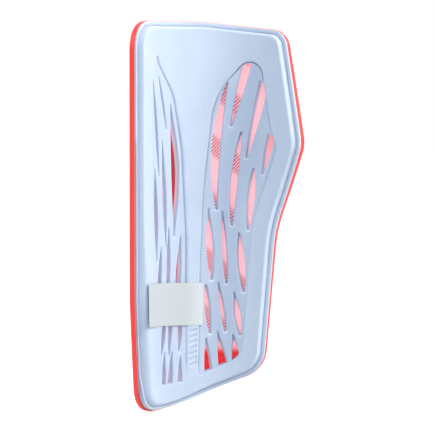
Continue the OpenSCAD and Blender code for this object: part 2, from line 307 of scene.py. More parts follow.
FRAME_LINE = inset(GUARD, BORDER)
LEFT_SIDE = LEFT_EDGE + BORDER + 0.8
RIGHT_APEX = (39.5, KNEE_Z - 12.5, 8)
RIGHT_SHOULDER = (46.8, 48, 40)
RIGHT_WING = (51, 36.5, 8)
RIGHT_FOOT = (3.4, on_line(FRAME_LINE[5], FRAME_LINE[6], 3.4) - FOOT_DROP, 1.5)
RIGHT_WAIST = (4.6, -27, 150)
RIGHT_RIB = (6.9, 16, 150)
RIGHT_RISE = (13.3, 65, 40)
LEFT_APEX = (-27, KNEE_Z - 16.5, 1.5)
LEFT_NECK = (-24.6, 81.5, 8)
LEFT_SHOULDER = (-13.0, 66, 30)
LEFT_RISE = (-6.9, 38, 90)
LEFT_RIB = (-3.8, -12, 150)
LEFT_FOOT = (-4.2, on_line(FRAME_LINE[5], FRAME_LINE[6], -4.2) - FOOT_DROP, 1.5)
LEFT_HEEL = (LEFT_SIDE, -KNEE_Z + BORDER, 3)
LEFT_WING = (LEFT_SIDE, 66, 30)
RIGHT_HEEL = (FRAME_LINE[5][0], FRAME_LINE[5][1] - FOOT_DROP, 10)
RIGHT_FAR = [RIGHT_APEX, RIGHT_SHOULDER, RIGHT_WING, FRAME_LINE[4], RIGHT_HEEL]
RIGHT_NEAR = [RIGHT_FOOT, RIGHT_WAIST, RIGHT_RIB, RIGHT_RISE]
RIGHT_PANEL = RIGHT_FAR + RIGHT_NEAR
LEFT_NEAR = [LEFT_APEX, LEFT_NECK, LEFT_SHOULDER, LEFT_RISE, LEFT_RIB, LEFT_FOOT]
LEFT_FAR = [LEFT_HEEL, LEFT_WING]
LEFT_PANEL = LEFT_NEAR + LEFT_FAR


def side_line(*corners):
    """The girth of a panel's side at a height."""
    ordered = sorted((c[1], c[0]) for c in corners)
    return lambda z: np.interp(z, [c[0] for c in ordered], [c[1] for c in ordered])


def vents_of(columns, rib, far, foot_way):
    """The vents of a panel, between its sides rib and far. Foot_way is the way of the panel's foot."""
    made = []
    for top_u, foot_u, bow, share, end, heights, slots in columns:
        for i in range(len(heights) - 1):
            top_z, foot_z = heights[i] - VENT_WEB / 2, heights[i + 1] + VENT_WEB / 2
            top = np.array([rib(top_z) + (far(top_z) - rib(top_z)) * top_u, top_z])
            foot = np.array([rib(foot_z) + (far(foot_z) - rib(foot_z)) * foot_u, foot_z])
            tall = (top_z - foot_z) * (2 if end else 1)
            width = ((VENT_OPEN_W if end else VENT_W) + VENT_SWELL * tall) * share
            made.append(Vent(top, foot, width, bow, end, foot_way, slots[i]))
    return made


def lens(vent, spread, tip, head_ramp, foot_ramp, to_both=(0.0, 0.0), point=1.0, step=1.3):
    """A vent's outline, clockwise: spread wider on each side, and by to_both on the left and on the right, tip wide
    at its ends and a ramp short of each end. A ramp below 0 is a slot past the end. A point above 1 draws the ends
    out thin."""
    top, foot, width, bow, end, foot_way, _ = vent
    length = np.linalg.norm(foot - top)
    way = (foot - top) / length
    right = np.array([-way[1], way[0]])
    first = (-spread if end == "top" else head_ramp) / length
    last = 1 - (-spread if end == "foot" else foot_ramp) / length
    t = np.linspace(first, last, max(6, round(length / step)))
    u = np.clip((t - max(first, 0)) / (min(last, 1) - max(first, 0)), 0, 1)
    bend = {"": 1 - (2 * u - 1) ** 2, "top": 1 - u**2, "foot": 1 - (u - 1) ** 2}[end] ** point
    bulge = (width - VENT_END) / 2
    to_right = tip / 2 + (max(bulge - bow, 0.1 - bow) + spread + to_both[1]) * bend
    to_left = tip / 2 + (max(bulge + bow, 0.1 + bow) + spread + to_both[0]) * bend
    slant = np.dot(foot_way, way) / np.dot(foot_way, right) * t if end == "foot" else 0 * t
    mid = top + (foot - top) * t[:, None]
    right_side = mid + right * to_right[:, None] + way * (slant * to_right)[:, None]
    left_side = mid - right * to_left[:, None] - way * (slant * to_left)[:, None]
    across = np.linspace(0, 1, 5)[1:-1, None]
    below = right_side[-1] + (left_side[-1] - right_side[-1]) * across
    above = left_side[0] + (right_side[0] - left_side[0]) * across
    return np.vstack([right_side, below, left_side[::-1], above])


def held_in(points, loop, margin):
    """The points pushed inward until each is at least margin inside the closed line."""
    points = points.copy()
    for _ in range(4):
        short = margin - depth_in(points, loop)
        for i in np.nonzero(short > 1e-3)[0]:
            around = points[i] + PROBE * np.array([(1, 0), (-1, 0), (0, 1), (0, -1)])
            d = depth_in(around, loop)
            slope = np.array([d[0] - d[1], d[2] - d[3]]) / (2 * PROBE)
            points[i] += slope / max(np.linalg.norm(slope), 1e-6) * short[i]
    return points


def unfolded(points):
    """The closed line with each point where it turns back on itself moved between its neighbours."""
    points = points.copy()
    for _ in range(8):
        before, after = np.roll(points, 1, 0), np.roll(points, -1, 0)
        u, w = points - before, after - points
        lengths = np.linalg.norm(u, axis=1) * np.linalg.norm(w, axis=1)
        straight = (u * w).sum(1) / np.maximum(lengths, 1e-9)
        i = np.argmin(straight)
        if straight[i] > -0.7:
            break
        points[i] = (before[i] + after[i]) / 2
    return points


FOOT_WAY = unit(np.array(FRAME_LINE[6][:2]) - np.array(FRAME_LINE[5][:2]))
HEEL_WAY = unit(np.array(LEFT_HEEL[:2]) - np.array(LEFT_FOOT[:2]))
guard_line = evenly(rounded(GUARD), OUTLINE_STEP)
rim_shows = smooth(-90, -98, guard_line[:, 1]) * smooth(8, -12, guard_line[:, 0])
pad_line = moved_in(guard_line, PAD_MARGIN + RIM_SHOWS * rim_shows[:, None])
right_line = evenly(rounded(RIGHT_PANEL), PANEL_STEP)
left_line = evenly(rounded(LEFT_PANEL), PANEL_STEP)
rib_side = side_line(*RIGHT_NEAR, RIGHT_APEX)


def foot_side(s):
    """The height of the right panel's foot at a girth."""
    return on_line(RIGHT_FOOT, RIGHT_HEEL, s)


def right_outlines(vent):
    """Mouth and floor of a vent in the right panel. The left walls of the far ones slope more."""
    slope = 0.5 * smooth(22, 34, (vent.top[0] + vent.foot[0]) / 2)
    mouth = lens(vent, VENT_DRAFT / 2, VENT_TIP, -vent.slot, 0, (slope, 0))
    floor = lens(vent, 0, 0.5, 1.8, 2.5 if vent.end == "top" else 1.0)
    return mouth, floor


def left_outlines(vent):
    """Mouth and floor of a vent in the left panel, where the ends are thin and rise in long ramps."""
    lean = -0.35 * smooth(-14, -17, (vent.top[0] + vent.foot[0]) / 2)
    mouth = lens(vent, VENT_DRAFT / 2 + 0.25, 0.6, 0, 0, (0, 0.3), LEFT_POINT)
    floor = lens(vent, 0.1, 0.3, 4.0, 3.0, (0, lean), LEFT_POINT)
    return mouth, floor


right_vents = vents_of(RIGHT_COLUMNS, rib_side, side_line(*RIGHT_FAR), FOOT_WAY)
left_vents = vents_of(LEFT_COLUMNS, side_line(*LEFT_NEAR), side_line(*LEFT_FAR, LEFT_APEX), HEEL_WAY)
mouths = []
floors = []
for vents, outlines, line in ((right_vents, right_outlines, right_line), (left_vents, left_outlines, left_line)):
    for mouth, floor in map(outlines, vents):
        mouths.append(unfolded(held_in(mouth, line, VENT_MARGIN)))
        floors.append(unfolded(held_in(floor, line, VENT_MARGIN + VENT_DRAFT)))


def bar_line(i):
    """The outline of one slanted bar of the lower rib, clockwise."""
    lean = math.radians(BAR_LEAN)
    along = np.array([math.cos(lean), math.sin(lean)])
    across = np.array([-along[1], along[0]])
    middle = np.array([0, BAR_Z + (i - (BAR_COUNT - 1) / 2) * BAR_PITCH])
    corners = [(-1, 1), (1, 1), (1, -1), (-1, -1)]
    ends = [middle + along * BAR_L / 2 * a + across * BAR_W / 2 * b for a, b in corners]
    return evenly(rounded([(e[0], e[1], 0.45) for e in ends], 0.1), 0.35)


bars = [bar_line(i) for i in range(BAR_COUNT)]


def nearest(points, loops, reach=3.0):
    """Distance from the nearest of the closed lines, up to reach."""
    out = np.full(len(points), reach)
    for loop in loops:
        close = np.all((points > loop.min(0) - reach) & (points < loop.max(0) + reach), axis=1)
        if close.any():
            out[close] = np.minimum(out[close], distance(points[close], loop))
    return out


def in_any(points, loops):
    """True for each point that lies inside one of the closed lines."""
    out = np.zeros(len(points), bool)
    for loop in loops:
        close = np.all((points > loop.min(0)) & (points < loop.max(0)), axis=1)
        if close.any():
            out[close] |= inside(points[close], loop)
    return out


# Meshes


def place(points, r):
    """Points of the flat guard wrapped round the leg at radius r, in metres."""
    a = points[:, 0] / SHELL_R
    r = np.broadcast_to(r, a.shape)
    return np.stack([r * np.sin(a), r * np.cos(a) - LEG_R, points[:, 1]], 1) * MM


def filled(points, loops, keep):
    """Triangles over the points, held along the closed loops of point numbers. A region between loops is taken whole
    where keep is true at the centre of its largest triangle, and left out where it lies outside all loops."""
    edges = [(loop[i - 1], loop[i]) for loop in loops for i in range(len(loop))]
    flat = [Vector(p) for p in points]
    verts, lines, faces, origin, held, _ = delaunay_2d_cdt(flat, edges, [], 0, WELD)
    first = {}
    for i, own in enumerate(origin):
        for o in own:
            first[o] = i
    verts = np.array([v[:] for v in verts])
    faces = np.array([f[:3] for f in faces])
    walls = {frozenset(line) for line, own in zip(lines, held) if own}
    sides = [[frozenset((f[k - 1], f[k])) for k in range(3)] for f in faces.tolist()]
    sharing = {}
    for i, own in enumerate(sides):
        for side in own:
            sharing.setdefault(side, []).append(i)
    corners = verts[faces].transpose(1, 2, 0)
    area = np.abs(cross(corners[1] - corners[0], corners[2] - corners[0]))
    good = keep(verts[faces].mean(1))
    taken, seen = np.zeros(len(faces), bool), np.zeros(len(faces), bool)
    for start in np.argsort(-area, kind="stable"):
        if seen[start]:
            continue
        seen[start] = True
        region, outer = [start], False
        for i in region:
            for side in sides[i]:
                if side not in walls:
                    outer = outer or len(sharing[side]) == 1
                    fresh = [j for j in sharing[side] if not seen[j]]
                    seen[fresh] = True
                    region += fresh
        taken[region] = good[start] and not outer
    return verts, faces[taken], first


def grid(loop, step, margin):
    """Points of a triangular grid inside the closed line."""
    low, high = loop.min(0), loop.max(0)
    rows = np.arange(low[1], high[1], step * 0.866)
    made = []
    for k, z in enumerate(rows):
        s = np.arange(low[0] + (k % 2) * step / 2, high[0], step)
        made.append(np.stack([s, np.full(len(s), z)], 1))
    made = np.vstack(made)
    return made[depth_in(made, loop) > margin]


def apart(points, others, gap):
    """The points that are at least gap from all others."""
    tree = KDTree(len(others))
    for i, p in enumerate(others):
        tree.insert((p[0], p[1], 0), i)
    tree.balance()
    return points[[tree.find((p[0], p[1], 0))[2] > gap for p in points]]


def mesh_piece(name, co, flat, faces, sharp):
    """A smooth-shaded piece from its points, their flat places and its faces."""
    mesh = bpy.data.meshes.new(name)
    mesh.from_pydata([tuple(p) for p in co], [], [tuple(int(i) for i in f) for f in faces])
    mesh.attributes.new("flat", "FLOAT_VECTOR", "POINT").data.foreach_set(
        "vector", np.ascontiguousarray(flat, np.float32).ravel()
    )
    shaped = bmesh.new()
    shaped.from_mesh(mesh)
    bmesh.ops.recalc_face_normals(shaped, faces=shaped.faces)
    for face in shaped.faces:
        face.smooth = True
    shaped.to_mesh(mesh)
    shaped.free()
    mesh.set_sharp_from_angle(angle=math.radians(sharp))
    piece = bpy.data.objects.new(name, mesh)
    bpy.context.scene.collection.objects.link(piece)
    return piece


class Build:
    """Points and faces of one piece as they are put together."""

    def __init__(self):
        self.co, self.flat, self.faces, self.count = [], [], [], 0

    def add(self, points, r):
        """Numbers of the points newly placed at radius r."""
        r = np.broadcast_to(r, (len(points),))
        self.co.append(place(points, r))
        self.flat.append(np.column_stack([points, r]))
        self.count += len(points)
        return np.arange(self.count - len(points), self.count)

    def face(self, numbers, faces):
        """Faces between the numbered points."""
        self.faces.extend(numbers[np.asarray(faces)].tolist())

    def strip(self, a, b):
        """Faces between two closed rings of as many points."""
        for i in range(len(a)):
            self.faces.append([a[i - 1], a[i], b[i], b[i - 1]])

    def piece(self, name, sharp=45):
        return mesh_piece(name, np.vstack(self.co), np.vstack(self.flat), self.faces, sharp)


def numbered(lengths):
    """The point numbers of closed lines that follow one another, from their lengths."""
    starts = np.cumsum([0] + lengths)
    return [list(range(starts[i], starts[i + 1])) for i in range(len(lengths))]


def sheet(build, ring, holes, r, step):
    """A sheet at radius r inside the ring round the holes. Returns the numbers of the ring and of each hole."""
    loops = [ring] + holes
    edge = np.vstack(loops)
    inner = grid(ring, step, step * 0.6)
    inner = inner[~in_any(inner, holes) & (nearest(inner, holes) > step * 0.4)] if holes else inner
    points = np.vstack([edge, inner])
    numbers = numbered([len(loop) for loop in loops])
    verts, faces, first = filled(points, numbers, lambda c: inside(c, ring) & ~in_any(c, holes))
    made = build.add(verts, r)
    build.face(made, faces)
    return [made[[first[i] for i in loop]] for loop in numbers]


def curve_down(u):
    """A quarter of an ellipse: 1 at u 0, where it is steep, and 0 at u 1, where it is level."""
    u = np.clip(u, 0, 1)
    return 1 - np.sqrt(1 - (1 - u) ** 2)


def swell(s, z):
    """Extra thickness of the pad toward its lower left edge."""
    return FOOT_SWELL * smooth(10, -50, z) * smooth(-24, -40, s)


def panel_round(s, z):
    """How wide the edge of a panel is rounded."""
    upper_rib = smooth(35, 55, z) * smooth(30, 22, s)
    return PANEL_ROUND * np.where(s > 0, 0.5 + 0.5 * upper_rib, 0.95)


def cups(points):
    """How much each point belongs to the lip below a vent's foot, from 0 to 1."""
    out = np.zeros(len(points))
    for vent in right_vents + left_vents:
        if vent.end != "foot":
            to = points - vent.foot
            near = smooth(2 * CUP, 1.2, np.linalg.norm(to, axis=1))
            out = np.maximum(out, near * smooth(-0.6, 0.5, to @ unit(vent.foot - vent.top)))
    return out * np.where(points[:, 0] < -14, 0.4, 1)


def right_sink(s, z):
    """Depth of the right panel, which is deepest along the rib and fades toward its foot."""
    sink = 0.75 + 0.75 * smooth(24, 6, s) + 0.35 * smooth(30, 44, s) * smooth(20, 50, z)
    sink = sink - 0.4 * smooth(20, 32, s) * smooth(25, -10, z)
    return sink * (0.4 + 0.6 * smooth(0, 9, z - foot_side(s))) * (1 - 0.35 * smooth(-50, -80, z))


def left_sink(s, z):
    """Depth of the left panel, which fades toward its outer side and ends level at its foot."""
    sink = 0.2 + 0.9 * smooth(-26, -6, s) + 0.6 * smooth(60, 85, z)
    return sink * (1 - 0.4 * smooth(-30, -60, z)) * smooth(-89, -76, z)


def relief(points, edge, panel, vent, bar):
    """Depth of the pad's face below its raised level, from the distances to its features."""
    s, z = points[:, 0], points[:, 1]
    flange = PAD_T - FLANGE_T - FOOT_FLANGE * smooth(-82, -96, z) * smooth(22, -8, s)
    wide = WALL_ROUND + SHOULDER * smooth(-15, -45, z) * smooth(-18, -36, s)
    depth = (flange + WALL_GROOVE) * curve_down((edge - WALL_FOOT) / wide)
    depth = depth - swell(s, z) * np.clip(1 - depth / flange, 0, 1)
    rim = flange + RIM_FALL * curve_down((edge - PAD_MARGIN) / RIM_ROUND)
    rim = rim + WALL_GROOVE * smooth(WALL_FOOT - 0.7, WALL_FOOT - 0.1, edge)
    depth = np.where(edge < WALL_FOOT + 1e-6, rim, depth)
    sunk = np.where(s > 0, right_sink(s, z), left_sink(s, z))
    depth = depth + sunk * np.where(panel > -1e-6, 1, curve_down(-panel / panel_round(s, z)))
    crease = CREASE * smooth(0.25, 0.95, sunk) * np.where(s > 0, 1.3 + 2.0 * smooth(70, 80, z), 0.6)
    depth = depth + crease * smooth(0.7, 0.1, panel) * (panel > -1e-6)
    depth = depth + VENT_LIP * curve_down(vent / VENT_LIP)
    depth = depth + CUP_DEPTH * curve_down(vent / CUP) * cups(points)
    return depth + BAR_DEPTH * smooth(-0.12, 0.12, bar)


def left_rim_painted_red(s, z):
    """How much painted red reflection of the shell the pad's left edge gets, from 0 to 1."""
    return smooth(-36, -42, s) * (0.3 + 0.7 * smooth(55, 30, z))


def around_mouth(mouth, gap, clear):
    """Points at the gap round a vent's mouth, where no other mouth is nearer and the panels' edges are clear."""
    points = moved_in(mouth, -gap)
    own = np.abs(nearest(points, mouths) - gap) < 0.03
    off = np.minimum(distance(points, right_line), distance(points, left_line)) > clear
    return points[own & off]


def pad_points():
    """The pad's points, their known distances from its edge, the panels and the vents, and the lengths of the closed
    lines that come first: the pad's edge, the foot of its wall, the two panels and the mouths."""
    rings = []

    def ring(points, edge=np.nan, panel=np.nan, vent=np.nan):
        rings.append((points, np.tile([edge, panel, vent], (len(points), 1))))

    ring(pad_line, edge=PAD_MARGIN)
    ring(moved_in(guard_line, WALL_FOOT), edge=WALL_FOOT)
    ring(right_line, panel=0)
    ring(left_line, panel=0)
    for mouth in mouths:
        ring(mouth, vent=0)
    closed = [len(points) for points, _ in rings]
    for gap in RIM_GAPS:
        points = moved_in(guard_line, PAD_MARGIN + gap)
        ring(points[depth_in(points, pad_line) > 0.04], edge=PAD_MARGIN + gap)
    for share in WALL_SHARES:
        gap = WALL_FOOT + WALL_ROUND * share
        ring(moved_in(guard_line, gap), edge=gap)
    for line in (right_line, left_line):
        for gap in PANEL_GAPS:
            points = moved_in(line, -gap)
            ring(points[nearest(points, mouths) > VENT_LIP * 0.6], panel=-gap)
    for mouth in mouths:
        for share in LIP_SHARES:
            ring(around_mouth(mouth, VENT_LIP * share, 0.12), vent=VENT_LIP * share)
        for gap in CUP_GAPS:
            points = around_mouth(mouth, gap, 0.2)
            ring(points[cups(points) > 0.02], vent=gap)
    for bar in bars:
        for gap in BAR_GAPS:
            ring(moved_in(bar, gap))

    points = np.vstack([p for p, _ in rings])
    inner = grid(pad_line, PAD_GRID, WALL_FOOT + WALL_ROUND * WALL_SHARES[-1])
    inner = inner[~in_any(inner, mouths)]
    inner = apart(inner, points, PAD_GRID * 0.5)
    known = np.vstack([k for _, k in rings] + [np.full((len(inner), 3), np.nan)])
    return np.vstack([points, inner]), known, closed


def face_painted_light(points, edge, panel, vent):
    """Painted light on the pad's face: above 0 for painted shade where it is sunk and for a painted red reflection of
    the shell at the rim, and below 0 for painted highlights on the lit lips.
    """
    s, z = points[:, 0], points[:, 1]
    in_by = s - rib_side(z)
    # Painted shade over the right panel, growing in from the rib and fading toward its far side
    right = 0.3 * smooth(0, 3, in_by) + 0.55 * smooth(3, 14, in_by)
    right = right * (1 - 0.7 * smooth(22, 36, s) * smooth(40, 0, z)) * (1 - 0.7 * smooth(34, 46, s))
    lit = cups(points) * smooth(1.5, 0.6, vent)
    # Painted shade on the sunk panels, and painted highlights on the lit lips below the vents' feet
    painted_light = smooth(-0.2, 0.5, panel) * np.where(s > 0, right, 0.2) * (1 - lit) + LIP_PAINTED_HIGHLIGHT * lit
    # Painted red reflection of the shell along the left rim
    red = np.interp(edge - PAD_MARGIN, [0, 0.2, 0.45, 1.7], [RIM_PAINTED_REFLECTION, 1.6, 1.15, 0])
    return painted_light + red * left_rim_painted_red(s, z)


def make_pad():
    """The foam pad: its face in relief, its flat back, its edge and the walls of its vents."""
    build = Build()
    points, known, closed = pad_points()
    loops = numbered(closed)
    verts, faces, first = filled(points, loops, lambda c: inside(c, pad_line) & ~in_any(c, mouths))

    own = np.full((len(verts), 3), np.nan)
    for i, j in first.items():
        own[j] = np.where(np.isnan(own[j]), known[i], own[j])
    right, left = depth_in(verts, right_line), depth_in(verts, left_line)
    edge = np.where(np.isnan(own[:, 0]), depth_in(verts, guard_line), own[:, 0])
    panel = np.where(np.isnan(own[:, 1]), np.maximum(right, left), own[:, 1])
    vent = np.where(np.isnan(own[:, 2]), nearest(verts, mouths), own[:, 2])
    bar = np.full(len(verts), -1.0)
    for line in bars:
        bar = np.maximum(bar, depth_in(verts, line))
    depth = relief(verts, edge, panel, vent, bar)
    made = build.add(verts, LEG_R + depth)
    build.face(made, faces)

    back = sheet(build, pad_line, floors, GLUE_R, BACK_GRID)
    fronts = [loops[0]] + loops[-len(mouths) :]
    for loop, behind in zip(fronts, back):
        build.strip(made[[first[i] for i in loop]], behind)
    piece = build.piece("pad_foam")
    # Painted light kept with the points in the sunk attribute: painted shade, painted red reflection and painted
    # highlights on the face, and painted red reflection at the back's rim
    painted_light = np.zeros(build.count, np.float32)
    painted_light[made] = face_painted_light(verts, edge, panel, vent)
    painted_light[back[0]] = RIM_PAINTED_REFLECTION * left_rim_painted_red(pad_line[:, 0], pad_line[:, 1])
    # Painted light and a painted red glow on the vent walls, set at their floors
    for floor, foot in zip(floors, back[1:]):
        s = floor[0, 0]
        painted_light[foot] = LEFT_WALL_PAINTED_LIGHT if s < 0 else RIGHT_WALL_PAINTED_LIGHT - 0.25 * smooth(28, 34, s)
    piece.data.attributes.new("sunk", "FLOAT", "POINT").data.foreach_set("value", painted_light)
    return piece


def make_slab(name, ring, holes, r_in, r_out, step):
    """A bent slab between two radii, with holes through it."""
    build = Build()
    for a, b in zip(sheet(build, ring, holes, r_in, step), sheet(build, ring, holes, r_out, step)):
        build.strip(a, b)
    return build.piece(name)


def make_shell():
    """The shell: a smooth outer face that rounds over to a narrow rim."""
    build = Build()
    below = sheet(build, guard_line, [], SHELL_R, SHELL_GRID)[0]
    straight = SHELL_T - SHELL_ROUND
    profile = [(0.06, 0.02), (0.0, 0.1), (0.0, straight)]
    for turn in np.radians([20, 40, 60, 75]):
        profile.append((SHELL_ROUND * (1 - math.cos(turn)), straight + SHELL_ROUND * math.sin(turn)))
    for gap, up in profile:
        here = build.add(moved_in(guard_line, gap), SHELL_R + up)
        build.strip(below, here)
        below = here
    outer = sheet(build, moved_in(guard_line, SHELL_ROUND), [], OUTER_R, SHELL_GRID)[0]
    build.strip(below, outer)
    return build.piece("shell_moulding", 60)


def label_lift(s, z):
    """Height of the label's back above the pad's raised level: its left end lifts, its right end bends down."""
    ends = LABEL_LIFT * smooth(-22, -39, s) - LABEL_BEND * smooth(3.4, 7.2, s)
    waves = 0.12 * np.sin(s / 5.2) * np.sin(z / 7.5 + 1) * smooth(4, 0, s)
    return 0.05 + swell(s, z) + ends + waves


def make_label():
    """A thin sticker laid across the left panel and the rib."""
    left, up, fall = LABEL_END - LABEL_L, LABEL_H / 2, LABEL_FALL / 2
    corners = [
        (left, LABEL_Z + up + fall),
        (LABEL_END, LABEL_Z + up - fall),
        (LABEL_END - LABEL_SLANT, LABEL_Z - up - fall),
        (left, LABEL_Z - up + fall),
    ]
    ring = evenly(rounded([(c[0], c[1], 0.8) for c in corners], 0.15), 0.8)
    build = Build()
    sides = []
    for thick in (0, LABEL_T):
        sides.append(sheet(build, ring, [], LEG_R, LABEL_GRID)[0])
        points = build.flat[-1][:, :2]
        r = LEG_R - label_lift(points[:, 0], points[:, 1]) - thick
        build.co[-1] = place(points, r)
        build.flat[-1] = np.column_stack([points, r])
    build.strip(sides[0], sides[1])
    return build.piece("label_sticker")


# Materials


class Shader:
    """A material's node tree, written as nested calls."""

    def __init__(self, name):
        self.material = bpy.data.materials.new(name)
        self.material.use_nodes = True
        self.tree = self.material.node_tree
        self.bsdf = self.tree.nodes["Principled BSDF"]

    def put(self, socket, value):
        """Links the socket to another one, or sets its constant."""
        if isinstance(value, bpy.types.NodeSocket):
            self.tree.links.new(value, socket)
        else:
            socket.default_value = value

    def node(self, kind, out=0, settings=None, **inputs):
        """An output of a new node. Inputs go by name, with _ for a space, or by number, as i0."""
        made = self.tree.nodes.new(kind)
        for key, value in (settings or {}).items():
            setattr(made, key, value)
        for key, value in inputs.items():
            key = int(key[1:]) if key[0] == "i" and key[1:].isdigit() else key.replace("_", " ")
            self.put(made.inputs[key], value)
        return made.outputs[out]

    def flat(self):
        """The place on the flat guard, in millimetres."""
        return self.node("ShaderNodeAttribute", "Vector", {"attribute_name": "flat"})

    def math(self, operation, a, b=0.0):
        return self.node("ShaderNodeMath", 0, {"operation": operation}, i0=a, i1=b)

    def split(self, vector):
        """The three parts of a vector."""
        made = self.tree.nodes.new("ShaderNodeSeparateXYZ")
        self.put(made.inputs[0], vector)
        return made.outputs

    def noise(self, vector, scale, detail=2.0, roughness=0.5):
        kind = "ShaderNodeTexNoise"
        return self.node(kind, Vector=vector, Scale=scale, Detail=detail, Roughness=roughness)

    def ramp(self, value, low, high, to_low=0.0, to_high=1.0):
        """To_low where the value is at low, and to_high where it is at high, with a level start and end."""
        settings = {"interpolation_type": "SMOOTHSTEP"}
        return self.node("ShaderNodeMapRange", 0, settings, i0=value, i1=low, i2=high, i3=to_low, i4=to_high)

    def mix(self, share, a, b):
        """Colour a, with a share of colour b."""
        made = self.tree.nodes.new("ShaderNodeMix")
        made.data_type = "RGBA"
        self.put(made.inputs[0], share)
        self.put(made.inputs[6], a)
        self.put(made.inputs[7], b)
        return made.outputs[2]

    def bump(self, height, strength, distance, normal=None):
        made = self.tree.nodes.new("ShaderNodeBump")
        self.put(made.inputs["Height"], height)
        self.put(made.inputs["Strength"], strength)
        self.put(made.inputs["Distance"], distance)
        if normal is not None:
            self.put(made.inputs["Normal"], normal)
        return made.outputs[0]

    def surface(self, **inputs):
        """The material, with the inputs of its surface set."""
        for key, value in inputs.items():
            self.put(self.bsdf.inputs[key.replace("_", " ")], value)
        return self.material


def tone(r, g, b):
    """A colour of the screen, each part from 11 to 255, as the linear colour of a shader."""
    return tuple(((c / 255 + 0.055) / 1.055) ** 2.4 for c in (r, g, b)) + (1.0,)


def foam_material():
    """Pale foam with a fine skin, with painted shade where it is sunk, a painted red reflection of the shell at its
    rim, and painted light on the lips and vent walls, where a pink glow is painted red reflection of the lining.
    """
    m = Shader("eva_foam")
    at = m.flat()
    s, _, _ = m.split(at)
    cloud = m.ramp(m.noise(at, 0.05, 3), 0.35, 0.65)
    speck = m.ramp(m.noise(at, 3.0, 2), 0.3, 0.7)
    colour = m.mix(cloud, (0.555, 0.645, 0.785, 1), (0.575, 0.665, 0.80, 1))
    colour = m.mix(m.math("MULTIPLY", speck, 0.25), colour, (0.518, 0.605, 0.745, 1))
    # The sunk attribute carries painted light, not only where the pad is sunk
    sunk = m.node("ShaderNodeAttribute", "Fac", {"attribute_name": "sunk"})
    # Painted shade where the panels are sunk
    colour = m.mix(m.math("MAXIMUM", sunk, 0.0), colour, (0.455, 0.54, 0.70, 1))
    # Painted red reflection of the shell at the left rim
    colour = m.mix(m.ramp(sunk, 1.0, RIM_PAINTED_REFLECTION), colour, (0.45, 0.31, 0.42, 1))
    # Painted highlights on the lips and painted light on the vent walls
    colour = m.mix(m.ramp(sunk, -0.05, -0.6), colour, (0.80, 0.84, 0.94, 1))
    grain = m.bump(m.noise(at, 4.5, 3, 0.6), 0.12, 0.00006)
    soft = m.bump(m.noise(at, 0.35, 2), 0.1, 0.0006, grain)
    return m.surface(
        Base_Color=colour,
        Roughness=m.ramp(m.noise(at, 1.4, 2), 0.2, 0.8, 0.5, 0.68),
        Normal=soft,
        Specular_IOR_Level=0.35,
        Subsurface_Weight=m.ramp(s, 2.0, -4.0, 0.4, 0.9),
        Subsurface_Radius=(1.0, 1.0, 1.1),
        Subsurface_Scale=m.ramp(s, 2.0, -4.0, 0.0008, 0.002),
        # Painted pink glow on the vent walls, for red light thrown back from the lining
        Emission_Color=(0.9, 0.32, 0.42, 1),
        Emission_Strength=m.ramp(sunk, -0.2, -1.0, 0.0, 0.2),
    )


def print_material():
    """Pale film with slanted hatching in bands that fade out, solid ink toward the foot and the left, and a painted
    glow that is weaker toward the left.
    """
    m = Shader("printed_film")
    at = m.flat()
    s, z, _ = m.split(at)
    slant = math.radians(HATCH_SLANT)
    across = m.math("ADD", m.math("MULTIPLY", s, math.sin(slant)), m.math("MULTIPLY", z, -math.cos(slant)))
    line = m.math("FRACT", m.math("DIVIDE", across, HATCH_PITCH))
    line = m.math("ABSOLUTE", m.math("SUBTRACT", line, 0.5))
    line = m.ramp(line, 0.17, 0.27, 1.0, 0.0)
    along = m.math("ADD", z, m.math("MULTIPLY", s, 0.8))
    band = m.math("COSINE", m.math("MULTIPLY", m.math("SUBTRACT", along, BAND_AT), 2 * math.pi / BAND_PITCH))
    fades = m.math("MULTIPLY", m.ramp(z, -70.0, -64.0), m.ramp(s, 35.0, 31.0))
    band = m.math("MULTIPLY", m.ramp(band, 0.05, 0.75), fades)
    fleck = m.noise(at, 6.0, 2)
    pale = m.mix(m.ramp(fleck, 0.3, 0.7), tone(255, 194, 200), tone(255, 184, 190))
    ink = m.mix(m.ramp(fleck, 0.35, 0.65), tone(226, 26, 30), tone(240, 36, 36))
    ink = m.mix(m.ramp(s, 2.0, -6.0, 0.0, 0.8), ink, tone(200, 20, 38))
    inked = m.math("MAXIMUM", m.ramp(z, -70.0, -75.0), m.math("MULTIPLY", m.ramp(s, -3.0, -9.0), 0.95))
    inked = m.math("MAXIMUM", inked, m.math("MULTIPLY", m.ramp(s, 38.0, 50.0), 0.5))
    colour = m.mix(m.math("MULTIPLY", line, band), m.mix(inked, pale, ink), tone(172, 52, 66))
    return m.surface(
        Base_Color=colour,
        Roughness=m.ramp(m.noise(at, 0.9, 2), 0.25, 0.75, 0.3, 0.42),
        Normal=m.bump(m.noise(at, 8.0, 2), 0.08, 0.00004),
        Specular_IOR_Level=0.3,
        Coat_Weight=0.1,
        Coat_Roughness=0.2,
        # Painted glow that brightens the lining, weaker toward the left as painted shade
        Emission_Color=colour,
        Emission_Strength=m.ramp(s, 2.0, -6.0, 0.36, 0.1),
    )


